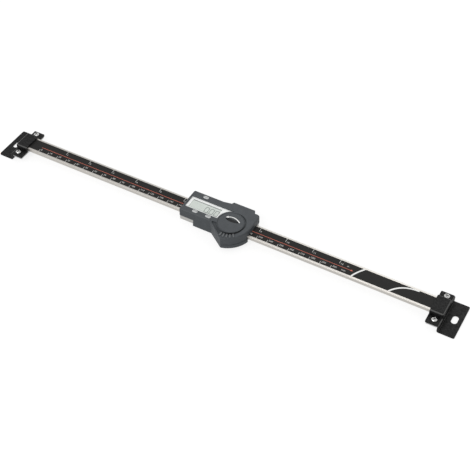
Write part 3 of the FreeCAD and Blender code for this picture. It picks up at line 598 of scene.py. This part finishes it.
FINISHES = {
    "rail_steel": drawn_metal(0.4), "carriage_alloy": drawn_metal(0.45), "gib_brass": drawn_metal(0.35),
    "screw_steel": plated_metal(0.25), "clamp_steel": plated_metal(0.4),
    "contact_steel": plated_metal(0.3), "cell_steel": plated_metal(0.3),
    "bracket_black": textured_paint, "housing_grey": moulded, "cover_grey": moulded,
    "button_grey": soft_rubber, "contact_rubber": soft_rubber,
    "label_black": printed_film, "grid_board": printed_film, "bezel_white": printed_film,
    "board_green": printed_film, "connector_black": printed_film,
    "lens_clear": clear_sheet, "display_glass": display_face,
}


def slot_finish(slot, colours):
    """The finish of a material slot, made at its first use."""
    made = bpy.data.materials.get(slot + "_finish")
    return made or FINISHES[slot](slot + "_finish", getattr(colours, slot))


def ink(name, colours):
    """The ink of a colour's name, made at its first use."""
    return bpy.data.materials.get(name) or printed_film(name, getattr(colours, name))


# Painted highlights and painted shade on some places of a finish

# Spans over which a tone sets in, from none to full
HIGHLIGHT_START = (0.45, 0.6)  # painted highlight on bends and round edges: upward share of its normal, from the upright faces on
HIGHLIGHT_END = (0.96, 0.88)  # the same from the level faces on
RECESS_RIM = (1.0, 0.98)  # painted shade in the finger recess: distance from the cover's middle over the cover's radius
RECESS_FALL = (-0.25, -1.0)  # height from the cover's face over the depth of full shade
RING_INNER = (-0.1, 0.0)  # painted shade at the foot of the ring: distance beyond the ring's outer side over the foot's width
RING_OUTER = (1.0, 0.6)  # the same from the foot's outer side on
RING_FALL = (-0.1, -0.4)  # height from the cover's face over the foot's width
RING_TURN = (0.3, 0.87)  # cosine of the turn from the foot's middle
RIB_INNER = (0.4, 0.7)  # painted highlight on the grip ribs: distance beyond the ring's outer side in millimetres
RIB_FRONT = (0.6, 0.7)  # distance in front of the cover's middle over the ring's radius
RIB_RIGHT = (-0.4, -0.3)  # distance to the right of the cover's middle over the ring's radius
RIB_TOP = (0.4, 0.9)  # height above the thumb rest over the ribs' height


def band(tree, value, span, unit=1.0, origin=0.0):
    """Socket that goes from 0 at a span's start to 1 at its end and stays so beyond.

    The span is counted in a unit of the value, from an origin."""
    start, end = (origin + share * unit for share in span)
    return add_node(tree, "MapRange", {"Value": value, "From Min": start, "From Max": end}).outputs["Result"]


def along(tree, vector, direction):
    """Socket of a vector's share along a direction, which is their dot product."""
    return add_node(tree, "VectorMath", {0: vector, 1: direction}, operation="DOT_PRODUCT").outputs["Value"]


def about_axis(tree, axis, top):
    """Sockets of a point's place from the upper end of an upright axis and of its distance from the axis."""
    where = add_node(tree, "TexCoord").outputs["Object"]
    place = mapped(tree, where, Location=(-axis[0], -axis[1], -top))
    flat = mapped(tree, place, Scale=(1.0, 1.0, 0.0))
    return place, add_node(tree, "VectorMath", {0: flat}, operation="LENGTH").outputs["Value"]


def add_tone(material, colour, *masks):
    """Blend what feeds the base colour towards another colour by the product of several bands."""
    tree = material.node_tree
    share, *others = [band(tree, *mask) for mask in masks]
    for other in others:
        share = worked_out(tree, "MULTIPLY", share, other)
    socket = tree.nodes["Principled BSDF"].inputs["Base Color"]
    # The colours of this node are its inputs 6 and 7 and its output 2
    inputs = {0: share, 6: socket.links[0].from_socket, 7: (*colour, 1.0)}
    tree.links.new(add_node(tree, "Mix", inputs, data_type="RGBA").outputs[2], socket)


def wear_edges(material, colour):
    """Painted highlight where a face is neither level nor upright, which is only so on bends and round edges.
    """
    tree = material.node_tree
    upward = along(tree, add_node(tree, "NewGeometry").outputs["Normal"], UP)
    add_tone(material, colour, (upward, HIGHLIGHT_START), (upward, HIGHLIGHT_END))


def darken_recess(material, colour, axis, top, radius, depth):
    """Painted shade that sets in below the battery cover's face, inside its edge."""
    tree = material.node_tree
    place, distance = about_axis(tree, axis, top)
    add_tone(material, colour, (distance, RECESS_RIM, radius), (along(tree, place, UP), RECESS_FALL, depth))


def darken_ring_foot(material, colour, axis, top, rim, sizes):
    """Painted shade at the foot of the cover's ring, fading round it from a middle on the right side."""
    tree = material.node_tree
    place, distance = about_axis(tree, axis, top)
    turn, foot = sizes.ring_foot_turn, sizes.ring_foot
    outward = along(tree, place, (math.cos(turn), math.sin(turn), 0.0))
    cosine = worked_out(tree, "DIVIDE", outward, distance)
    add_tone(material, colour, (distance, RING_INNER, foot, rim), (distance, RING_OUTER, foot, rim),
             (along(tree, place, UP), RING_FALL, foot), (cosine, RING_TURN))


def wear_ribs(material, colour, axis, top, rim, sizes):
    """Painted highlight on the grip ribs: above the plane of the thumb rest, in front of the cover's ring."""
    tree = material.node_tree
    place, distance = about_axis(tree, axis, top)
    fall = math.tan(sizes.thumb_tilt)
    above = along(tree, place, (0.0, -fall, 1.0))
    forward = along(tree, place, (0.0, -1.0, 0.0))
    rightward = along(tree, place, (1.0, 0.0, 0.0))
    add_tone(material, colour, (distance, RIB_INNER, MM, rim), (forward, RIB_FRONT, rim),
             (rightward, RIB_RIGHT, rim), (above, RIB_TOP, sizes.rib_rise, fall * sizes.thumb_start))


# Operators

class SCALE_OT_finishes(Operator):
    """Give every solid piece the finish of its material slot"""
    bl_idname = "linear_scale.finishes"
    bl_label = "Finishes"

    def execute(self, context):
        colours = context.scene.finish_colours
        sizes = context.scene.detail_sizes
        for node, solid in frame["nodes"].items():
            solid.data.materials.clear()
            solid.data.materials.append(slot_finish(NODE_SLOTS[node], colours))
        housing = slot_finish("housing_grey", colours)
        cover = slot_finish("cover_grey", colours)
        low, high = box_of("battery_cover")
        axis, radius, top = (low + high) / 2, (high[0] - low[0]) / 2, high[2]
        rim = radius + sizes.ring_reach
        # Painted highlights on bends, round edges and rib tops, and painted shade at the ring's foot and in
        # the finger recess
        wear_edges(slot_finish("bracket_black", colours), colours.bend_worn)
        wear_edges(housing, colours.edge_worn)
        wear_ribs(housing, colours.rib_worn, axis, top, rim, sizes)
        darken_ring_foot(housing, colours.hollow_dark, axis, top, rim, sizes)
        darken_recess(cover, colours.hollow_dark, axis, top, radius, sizes.recess_shade)
        return {"FINISHED"}


MM_NUMBERS = range(0, 301, 10)
INCH_NUMBERS = range(1, 13)
# Start, pull and end of the two curved stripes, in millimetres from the zero mark and the beam's middle
STRIPES = (((319.3, -6.3), (321.2, -0.5), (326.8, 6.5)), ((352.7, -6.4), (359.8, 5.7), (375.3, 5.7)))
RED_ARROW_POINT = 0.1  # width at the tip of the red line's arrow, as a share of the line's width


class SCALE_OT_label_print(Operator):
    """Print the two scales, the red line and the stripes on the label"""
    bl_idname = "linear_scale.label_print"
    bl_label = "Label print"

    def execute(self, context):
        sizes = context.scene.print_sizes
        colours = context.scene.finish_colours
        low, high = box_of("scale_label")
        front, back, face = low[1], high[1], high[2]
        zero = low[0] + sizes.zero_inset
        levels = (face, face + sizes.ink_height)
        mm_foot, inch_foot = front + sizes.mm_baseline, back - sizes.inch_baseline
        rows = [(number, number * MM, front, front + sizes.mm_tick, mm_foot) for number in MM_NUMBERS]
        rows += [(number, number * INCH, back - sizes.inch_tick, back, inch_foot) for number in INCH_NUMBERS]
        marks = []
        for number, reading, tick_start, tick_end, foot in rows:
            x = zero + reading
            place = (x + sizes.numeral_gap, foot)
            marks.append(ribbon([(x, tick_start), (x, tick_end)], sizes.tick_width, *levels))
            marks.append(letters(str(number), sizes.numeral_height, place, face, sizes.ink_height))
        for unit, reading, foot in (("mm", sizes.mm_word, mm_foot), ("in", sizes.inch_word, inch_foot)):
            marks.append(letters(unit, sizes.numeral_height, (zero + reading, foot), face, sizes.ink_height))
        piece("label_marks", marks, ink("scale_ink", colours), "rail")

        stripes = []
        for start, pull, end in STRIPES:
            points, faces = ribbon(bend(start, pull, end) * MM + (zero, 0.0), sizes.stripe_width, *levels)
            points[:, 1] = np.clip(points[:, 1], front, back)
            stripes.append((points, faces))
        piece("label_stripes", stripes, ink("white_ink", colours), "rail")

        y = front + sizes.red_line_offset
        start, end = zero + sizes.red_line_start, zero + sizes.red_line_end
        foot = end - sizes.red_arrow_length
        tip_widths = (sizes.red_arrow_width, RED_ARROW_POINT * sizes.red_line_width)
        line = ribbon([(start, y), (foot, y)], sizes.red_line_width, *levels)
        tip = ribbon([(foot, y), (end, y)], tip_widths, *levels)
        piece("label_red_line", [line, tip], ink("red_ink", colours), "rail")
        return {"FINISHED"}


# Reach and width of a driver's cross over the head's radius, and its depth over the head's height
CLAMP_CROSS = (0.72, 0.34, 0.5)
SMALL_CROSS = (0.66, 0.42, 0.6)
SMALL_HEAD_EDGE = 0.85  # straight side of the small heads, as a share of their height
GIB_SLOT_DEPTH = 0.6  # depth of the slot in a gib screw, as a share of its radius
GIB_EDGE = 0.9  # straight side of a gib screw's end, as a share of that depth
SMALL_COLUMNS = 48  # points round a small screw


class SCALE_OT_clamp_screws(Operator):
    """Replace the clamp screws by ones with a driver's cross and a thread"""
    bl_idname = "linear_scale.clamp_screws"
    bl_label = "Clamp screws"

    def execute(self, context):
        sizes = context.scene.detail_sizes
        colours = context.scene.finish_colours
        height = sizes.clamp_head_height
        for node in ("left_clamp_screws", "right_clamp_screws"):
            low, high = box_of(node)
            radius = (high[0] - low[0]) / 2
            seat = high[2] - height
            shape = screw(radius, sizes.clamp_head_edge, height, sizes.clamp_core, seat - low[2],
                          sizes.clamp_pitch, cross_recess(radius, height, CLAMP_CROSS))
            ends = round_ends(node, axis=2, side=1, width=2 * radius)
            places = [(x, y, seat) for x, y, _ in ends]
            screws(node, "rail", "screw_steel", colours, shape, places)
        return {"FINISHED"}


class SCALE_OT_carriage_screws(Operator):
    """Replace the screws under the base plate and the gib screws by detailed ones"""
    bl_idname = "linear_scale.carriage_screws"
    bl_label = "Carriage screws"

    def execute(self, context):
        sizes = context.scene.detail_sizes
        colours = context.scene.finish_colours
        radius, height = sizes.small_head_radius, sizes.small_head_height
        for node in ("base_plate_screws", "housing_screws"):
            low, high = box_of(node)
            seat = low[2] + height
            shape = screw(radius, SMALL_HEAD_EDGE * height, height, sizes.small_core, high[2] - seat,
                          sizes.small_pitch, cross_recess(radius, height, SMALL_CROSS), SMALL_COLUMNS)
            ends = round_ends(node, axis=2, side=-1, width=2 * radius)
            places = [(x, y, seat) for x, y, _ in ends]
            screws(node, "head", "screw_steel", colours, shape, places, "DOWN")

        low, high = box_of("gib_screws")
        radius = (high[2] - low[2]) / 2
        depth = GIB_SLOT_DEPTH * radius
        seat = high[1] - depth
        shape = screw(radius, GIB_EDGE * depth, depth, radius, seat - low[1], sizes.clamp_pitch,
                      slot_recess(sizes.gib_slot, depth), SMALL_COLUMNS)
        ends = round_ends("gib_screws", axis=1, side=1, width=2 * radius)
        places = [(x, seat, z) for x, _, z in ends]
        screws("gib_screws", "head", "clamp_steel", colours, shape, places, "BACK")
        return {"FINISHED"}


class SCALE_OT_keys(Operator):
    """Replace the three keys by crowned ones with a word on each"""
    bl_idname = "linear_scale.keys"
    bl_label = "Keys"

    def execute(self, context):
        sizes = context.scene.detail_sizes
        prints = context.scene.print_sizes
        colours = context.scene.finish_colours
        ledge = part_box("housing")[1][2] - sizes.key_ear_drop
        for key, word in (("units", "mm/in"), ("power", "ON/OFF"), ("zero", "ZERO")):
            node = key + "_button"
            low, high = box_of(node)
            middle = (low + high) / 2
            size = (high - low)[:2] - (2 * sizes.key_ear, 0.0)
            top = high[2] - prints.ink_height
            shells = [oval_key(middle, size, low[2], top, sizes.key_edge, sizes.key_crown)]
            inner, outer = size[0] / 2 - sizes.key_edge, size[0] / 2 + sizes.key_ear
            ear_width = size[1] - 2 * sizes.key_edge
            for start, end in ((-outer, -inner), (inner, outer)):
                path = [(middle[0] + start, middle[1]), (middle[0] + end, middle[1])]
                shells.append(ribbon(path, ear_width, ledge - sizes.key_ear_height, ledge))
            rubber = slot_finish("button_grey", colours)
            made = piece(node + "_detail", shells, rubber, key + "_key", smooth=SMOOTH)
            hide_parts(node)
            foot = middle[1] - prints.key_letters / 2
            text = letters(word, prints.key_letters, (middle[0], foot), top - sizes.key_crown,
                           sizes.key_crown + prints.ink_height, align="CENTER", widest=prints.key_word)
            piece(node + "_word", [text], ink("key_ink", colours), key + "_key")
        return {"FINISHED"}


# Ends of the seven segments of a digit, in shares of its width and height, in the order a to g
SEGMENTS = (((0, 1), (1, 1)), ((1, 1), (1, 0.5)), ((1, 0.5), (1, 0)), ((0, 0), (1, 0)),
            ((0, 0.5), (0, 0)), ((0, 1), (0, 0.5)), ((0, 0.5), (1, 0.5)))
DIGITS = {"0": "abcdef", "1": "bc", "2": "abged", "3": "abgcd", "4": "fgbc", "5": "afgcd", "6": "afgedc",
          "7": "abc", "8": "abcdefg", "9": "abcdfg"}
SEGMENT_GAP = 0.12  # point of a segment short of its corner, as a share of its width
SEGMENT_SHOULDER = 0.62  # start of its full width from that corner, as a share of that width
SEGMENT_POINT = 0.08  # width of its point, as a share of its full width


def segment(start, end, width, levels):
    """Display segment: a band with a point at each end, a little short of the corners where bands meet."""
    inward = width * (end - start) / np.linalg.norm(end - start)
    gap, shoulder = SEGMENT_GAP * inward, SEGMENT_SHOULDER * inward
    point = SEGMENT_POINT * width
    path = [start + gap, start + shoulder, end - shoulder, end - gap]
    return ribbon(path, (point, width, width, point), *levels)


class SCALE_OT_display(Operator):
    """Show the reading in seven-segment digits on the display"""
    bl_idname = "linear_scale.display"
    bl_label = "Display"

    def execute(self, context):
        sizes = context.scene.detail_sizes
        colours = context.scene.finish_colours
        low, high = box_of("lcd_panel")
        levels = (high[2], high[2] + context.scene.print_sizes.ink_height)
        foot = low[1] + sizes.digits_front
        width = sizes.segment_width
        span = np.array([sizes.digit_width, sizes.digit_height])
        steps = len(sizes.reading.replace(".", "")) - 1
        place = high[0] - sizes.digits_right - sizes.digit_width - sizes.digit_pitch * steps
        shells = []
        for figure in sizes.reading:
            if figure == ".":
                dot = place - (sizes.digit_pitch - sizes.digit_width) / 2 - width / 2
                shells.append(ribbon([(dot, foot), (dot + width, foot)], width, *levels))
                continue
            corner = np.array([place, foot])
            shells += [segment(corner + span * start, corner + span * end, width, levels)
                       for name, (start, end) in zip("abcdefg", SEGMENTS) if name in DIGITS[figure]]
            place += sizes.digit_pitch
        piece("display_digits", shells, ink("segment_grey", colours), "head")
        y = high[1] - sizes.edge_line_inset
        path = [(low[0] + sizes.edge_line_left, y), (high[0] - sizes.edge_line_right, y)]
        line = ribbon(path, sizes.edge_line_width, *levels)
        piece("display_edge_line", [line], ink("edge_grey", colours), "head")
        return {"FINISHED"}


class SCALE_OT_window(Operator):
    """Replace the window over the display by a sheet that lies clear of the border under it"""
    bl_idname = "linear_scale.window"
    bl_label = "Window"

    def execute(self, context):
        low, high = box_of("lcd_lens")
        low[2] += context.scene.detail_sizes.window_clear
        axis = sum(box_of("battery_cover"))[:2] / 2
        plan = points_in(frame["nodes"]["lcd_lens"].data)[:, :2]
        radius = np.linalg.norm(plan - axis, axis=1).min()
        material = slot_finish("lens_clear", context.scene.finish_colours)
        made = piece("lcd_lens_detail", [window_sheet(low, high, axis, radius)], material, "head")
        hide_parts("lcd_lens")
        return {"FINISHED"}


CONTACT_STEPS = (-1.5, -0.5, 0.5, 1.5)  # places of the port's contacts, in steps from its middle


class SCALE_OT_port_contacts(Operator):
    """Lay four contact strips in the data connector's socket"""
    bl_idname = "linear_scale.port_contacts"
    bl_label = "Port contacts"

    def execute(self, context):
        sizes = context.scene.detail_sizes
        low, high = box_of("port_connector")
        middle = (low + high) / 2
        floor = middle[2] - sizes.socket_height / 2
        mouth = high[1] - sizes.contact_inset
        shells = []
        for step in CONTACT_STEPS:
            x = middle[0] + step * sizes.contact_pitch
            shells.append(ribbon([(x, mouth - sizes.contact_length), (x, mouth)], sizes.contact_width,
                                 floor, floor + sizes.contact_height))
        material = slot_finish("contact_steel", context.scene.finish_colours)
        piece("port_contacts", shells, material, "head")
        return {"FINISHED"}


# Start, pull and end of the cover's arrow and of its head, in millimetres from the cover's middle, and the
# widths of that head at its foot, middle and tip over the arrow's width
ARROW_ARC = ((7.0, 3.0), (0.4, 7.9), (-4.9, 4.85))
ARROW_HEAD = ((-4.9, 4.85), (-5.9, 4.3), (-6.9, 3.6))
ARROW_HEAD_WIDTHS = (2.6, 1.4, 0.1)


class SCALE_OT_cover_arrow(Operator):
    """Print the turning arrow on the battery cover"""
    bl_idname = "linear_scale.cover_arrow"
    bl_label = "Cover arrow"

    def execute(self, context):
        prints = context.scene.print_sizes
        low, high = box_of("battery_cover")
        middle = ((low + high) / 2)[:2]
        levels = (high[2], high[2] + prints.ink_height)
        head_widths = np.array(ARROW_HEAD_WIDTHS) * prints.arrow_width
        arc = bend(*ARROW_ARC) * MM + middle
        head = bend(*ARROW_HEAD, count=len(head_widths)) * MM + middle
        shells = [ribbon(arc, prints.arrow_width, *levels), ribbon(head, head_widths, *levels)]
        piece("cover_arrow", shells, ink("white_ink", context.scene.finish_colours), "cell_cover")
        return {"FINISHED"}


FLOOR_GAP = 0.2 * MM  # floor below the mounting plane


def seen(tree):
    """Socket that is 1 for rays that the camera, a gloss or a clear piece sends out, and 0 for the others."""
    ray = add_node(tree, "LightPath").outputs
    direct = worked_out(tree, "MAXIMUM", ray["Is Camera Ray"], ray["Is Glossy Ray"])
    return worked_out(tree, "MAXIMUM", direct, ray["Is Transmission Ray"])


def lay_floor(scene, settings):
    """Pale floor that keeps shadows, with a little light of its own that only seen rays get."""
    half = settings.floor_half
    level = CAD_BOX[0][2] - FLOOR_GAP
    corners = [(-half, -half, level), (half, -half, level), (half, half, level), (-half, half, level)]
    mesh = bpy.data.meshes.new("floor")
    mesh.from_pydata(corners, [], [(0, 1, 2, 3)])
    material = bpy.data.materials.new("floor_pale")
    material.use_nodes = True
    tree = material.node_tree
    tree.nodes.remove(tree.nodes["Principled BSDF"])
    strength = worked_out(tree, "MULTIPLY", seen(tree), settings.floor_glow)
    diffuse = add_node(tree, "BsdfDiffuse", {"Color": (*settings.floor, 1.0)})
    glow = add_node(tree, "Emission", {"Strength": strength})
    lit = add_node(tree, "AddShader", {0: diffuse.outputs[0], 1: glow.outputs[0]})
    tree.links.new(lit.outputs[0], tree.nodes["Material Output"].inputs["Surface"])
    mesh.materials.append(material)
    made = bpy.data.objects.new("floor", mesh)
    scene.collection.objects.link(made)


def light_sky(scene, settings):
    """Even light from all round, white where it is seen."""
    world = bpy.data.worlds.new("studio")
    world.use_nodes = True
    tree = world.node_tree
    glow = tree.nodes["Background"].inputs
    glow["Color"].default_value = (1.0, 1.0, 1.0, 1.0)
    strength = add_node(tree, "MapRange", {"Value": seen(tree), "To Min": settings.sky, "To Max": 1.0})
    tree.links.new(strength.outputs["Result"], glow["Strength"])
    scene.world = world


def hang_lamp(scene, settings, name):
    """Broad soft lamp that shines at the origin."""
    data = bpy.data.lights.new(name, "AREA")
    data.size = getattr(settings, name + "_size")
    data.energy = getattr(settings, name)
    made = bpy.data.objects.new(name, data)
    made.location = getattr(settings, name + "_place")
    made.rotation_euler = (-made.location).to_track_quat("-Z", "Y").to_euler()
    scene.collection.objects.link(made)


def set_camera(scene, settings):
    """Camera on a sphere round its target, nearly upright."""
    level = math.cos(settings.elevation)
    back = Vector((math.sin(settings.azimuth) * level, -math.cos(settings.azimuth) * level,
                   math.sin(settings.elevation)))
    data = bpy.data.cameras.new("camera")
    data.lens = settings.lens
    data.sensor_width = 36.0
    data.clip_start = 0.01
    made = bpy.data.objects.new("camera", data)
    made.location = Vector(settings.target) + back * settings.distance
    upright = (-back).to_track_quat("-Z", "Y")
    made.rotation_euler = (upright @ Quaternion(UP, settings.roll)).to_euler()
    scene.collection.objects.link(made)
    scene.camera = made


class SCALE_OT_stage(Operator):
    """Set up the floor, the light and the camera"""
    bl_idname = "linear_scale.stage"
    bl_label = "Stage"

    def execute(self, context):
        scene = context.scene
        settings = scene.stage_settings
        scene.view_settings.view_transform = "Standard"
        lay_floor(scene, settings)
        light_sky(scene, settings)
        for name in ("front_lamp", "back_lamp"):
            hang_lamp(scene, settings, name)
        set_camera(scene, settings)
        return {"FINISHED"}


GROUPS = {"finish_colours": FinishColours, "print_sizes": PrintSizes, "detail_sizes": DetailSizes,
          "stage_settings": StageSettings}
STEPS = (SCALE_OT_finishes, SCALE_OT_label_print, SCALE_OT_clamp_screws, SCALE_OT_carriage_screws,
         SCALE_OT_keys, SCALE_OT_display, SCALE_OT_window, SCALE_OT_port_contacts, SCALE_OT_cover_arrow,
         SCALE_OT_stage)


class SCALE_PT_panel(Panel):
    """Sidebar panel that lists the steps and the values they read"""
    bl_label = "Linear scale"
    bl_idname = "SCALE_PT_panel"
    bl_space_type = "VIEW_3D"
    bl_region_type = "UI"
    bl_category = "Linear scale"

    def draw(self, context):
        for step in STEPS:
            self.layout.operator(step.bl_idname)
        for name, group in GROUPS.items():
            column = self.layout.column(heading=name.replace("_", " ").capitalize())
            for value in group.__annotations__:
                column.prop(getattr(context.scene, name), value)


CLASSES = (*GROUPS.values(), *STEPS, SCALE_PT_panel)


def register():
    for made in CLASSES:
        bpy.utils.register_class(made)
    for name, group in GROUPS.items():
        setattr(bpy.types.Scene, name, PointerProperty(type=group))


def unregister():
    for name in GROUPS:
        delattr(bpy.types.Scene, name)
    for made in reversed(CLASSES):
        bpy.utils.unregister_class(made)


def main():
    register()
    for step in STEPS:
        group, name = step.bl_idname.split(".")
        getattr(getattr(bpy.ops, group), name)()


if __name__ == "__main__":
    main()
